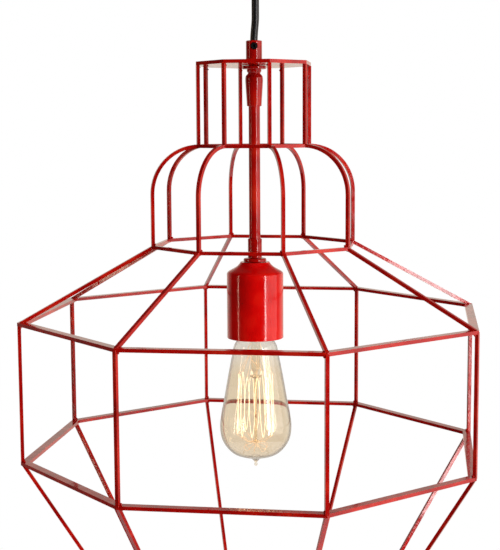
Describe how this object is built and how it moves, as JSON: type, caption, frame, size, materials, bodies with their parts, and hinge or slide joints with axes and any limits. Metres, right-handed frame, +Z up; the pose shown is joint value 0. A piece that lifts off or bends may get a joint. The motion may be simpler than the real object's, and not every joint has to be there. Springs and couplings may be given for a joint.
{
  "type": "pendant lamp",
  "caption": "Octagonal bar-cage pendant lamp: a lantern-shaped cage on a short cord, with a screw-in pear-shaped filament bulb in a cup holder.",
  "frame": {"origin": "middle of the rose bracket's top face, on the ceiling", "axes": "+Z up out of the lamp into the ceiling, -Y to the flat side of the cage that faces the front"},
  "size_m": [0.3864, 0.3864, 0.6425],
  "materials": {
    "red_paint": "gloss enamel",
    "blackened_steel": "blackened, satin",
    "cord_sheath": "smooth round sheath",
    "zinc_plate": "zinc or nickel plated",
    "brass": "bright",
    "ceramic": "glazed ceramic",
    "amber_glass": "clear, lightly amber",
    "filament_wire": "glowing wire"
  },
  "bodies": {
    "rose": {"ceiling_rose": "red_paint", "rose_bracket": "zinc_plate", "rose_screw_left": "blackened_steel", "rose_screw_right": "blackened_steel", "rose_cord_grip": "red_paint"},
    "cord_stub": {"cord_top": "cord_sheath"},
    "cord_run": {"cord": "cord_sheath"},
    "lamp": {"cord_grip_collar": "red_paint", "grub_screw": "blackened_steel", "finial": "red_paint", "stem_tube": "red_paint", "stem_sleeve": "red_paint", "holder_nut": "red_paint", "holder_cup": "red_paint", "holder_core": "ceramic", "screw_shell": "brass", "centre_contact": "brass", "crown_plate": "red_paint", "crown_cage": "red_paint", "bell_ring": "red_paint", "upper_ring": "red_paint", "lower_ring": "red_paint", "bottom_ring": "red_paint", "bell_rib_1": "red_paint", "bell_rib_2": "red_paint", "bell_rib_3": "red_paint", "bell_rib_4": "red_paint", "bell_rib_5": "red_paint", "bell_rib_6": "red_paint", "bell_rib_7": "red_paint", "bell_rib_8": "red_paint", "shoulder_rib_1": "red_paint", "shoulder_rib_2": "red_paint", "shoulder_rib_3": "red_paint", "shoulder_rib_4": "red_paint", "shoulder_rib_5": "red_paint", "shoulder_rib_6": "red_paint", "shoulder_rib_7": "red_paint", "shoulder_rib_8": "red_paint", "wall_post_1": "red_paint", "wall_post_2": "red_paint", "wall_post_3": "red_paint", "wall_post_4": "red_paint", "wall_post_5": "red_paint", "wall_post_6": "red_paint", "wall_post_7": "red_paint", "wall_post_8": "red_paint", "lower_rib_1": "red_paint", "lower_rib_2": "red_paint", "lower_rib_3": "red_paint", "lower_rib_4": "red_paint", "lower_rib_5": "red_paint", "lower_rib_6": "red_paint", "lower_rib_7": "red_paint", "lower_rib_8": "red_paint"},
    "bulb_travel": {"bulb_contact": "zinc_plate"},
    "bulb": {"bulb_cap": "zinc_plate", "bulb_glass": "amber_glass", "bulb_mount": "amber_glass", "filament": "filament_wire"}
  },
  "joints": [
    {"name": "swing_sideways", "type": "hinge", "parent": "rose", "child": "cord_stub", "pos_m": [0, 0, -0.0343], "axis": [0, 1, 0], "range_deg": [-20, 20]},
    {"name": "swing_forward", "type": "hinge", "parent": "cord_stub", "child": "cord_run", "pos_m": [0, 0, -0.0443], "axis": [1, 0, 0], "range_deg": [-20, 20]},
    {"name": "cord_twist", "type": "hinge", "parent": "cord_run", "child": "lamp", "pos_m": [0, 0, -0.0928], "axis": [0, 0, 1], "range_deg": [-180, 180]},
    {"name": "bulb_drop", "type": "slide", "parent": "lamp", "child": "bulb_travel", "axis": [0, 0, -1], "range_m": [0, 0.01453]},
    {"name": "bulb_unscrew", "type": "hinge", "parent": "bulb_travel", "child": "bulb", "pos_m": [0, 0, -0.336], "axis": [0, 0, -1], "range_deg": [0, 1440]}
  ],
  "couplings": [
    {"joint": "bulb_drop", "follows": "bulb_unscrew", "m_per_rad": 0.00057757}
  ]
}
